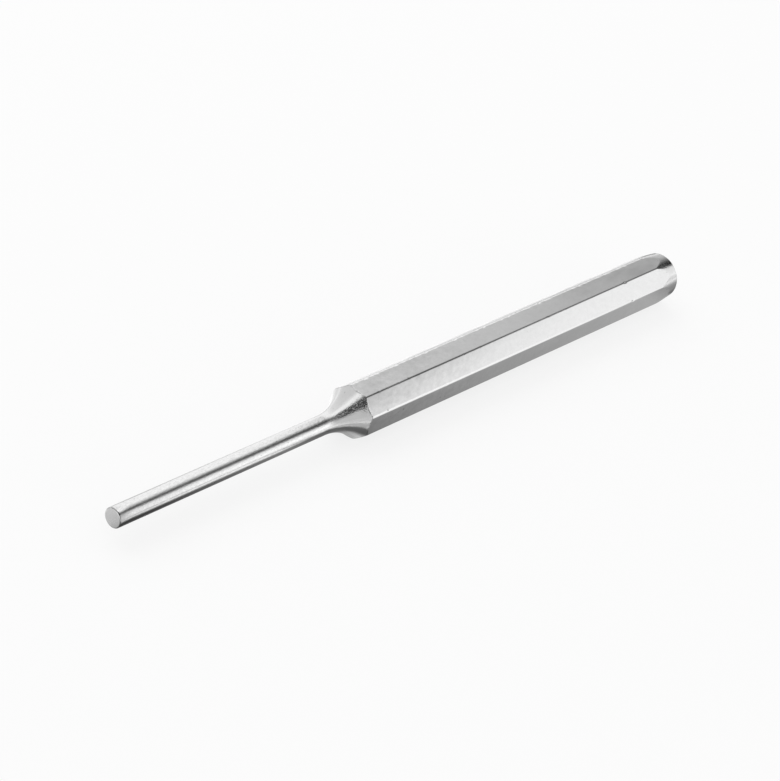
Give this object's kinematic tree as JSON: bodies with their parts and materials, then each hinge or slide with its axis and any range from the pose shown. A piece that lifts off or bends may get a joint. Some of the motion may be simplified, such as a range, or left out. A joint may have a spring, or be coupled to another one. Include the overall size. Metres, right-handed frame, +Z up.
{
  "type": "pin punch",
  "caption": "Pin punch with a long straight round pin, a hollow-curved neck, an octagonal bar to hold and a tapered, slightly crowned striking head.",
  "frame": {"origin": "centre of the flat working face at the tip of the pin", "axes": "+X along the axis from the tip to the struck end, +Z up with the punch lying on one flat of its bar"},
  "size_m": [0.16, 0.01, 0.01],
  "materials": {
    "turned_steel": "plated steel over fine turning marks, satin on the neck and bright on the pin and head",
    "drawn_steel": "plated steel over drawn flats, with fine pits, scratches and lengthwise draw lines"
  },
  "bodies": {
    "root": {"pin_shank": "turned_steel", "neck": "turned_steel", "octagonal_body": "drawn_steel", "striking_head": "turned_steel"}
  },
  "joints": []
}
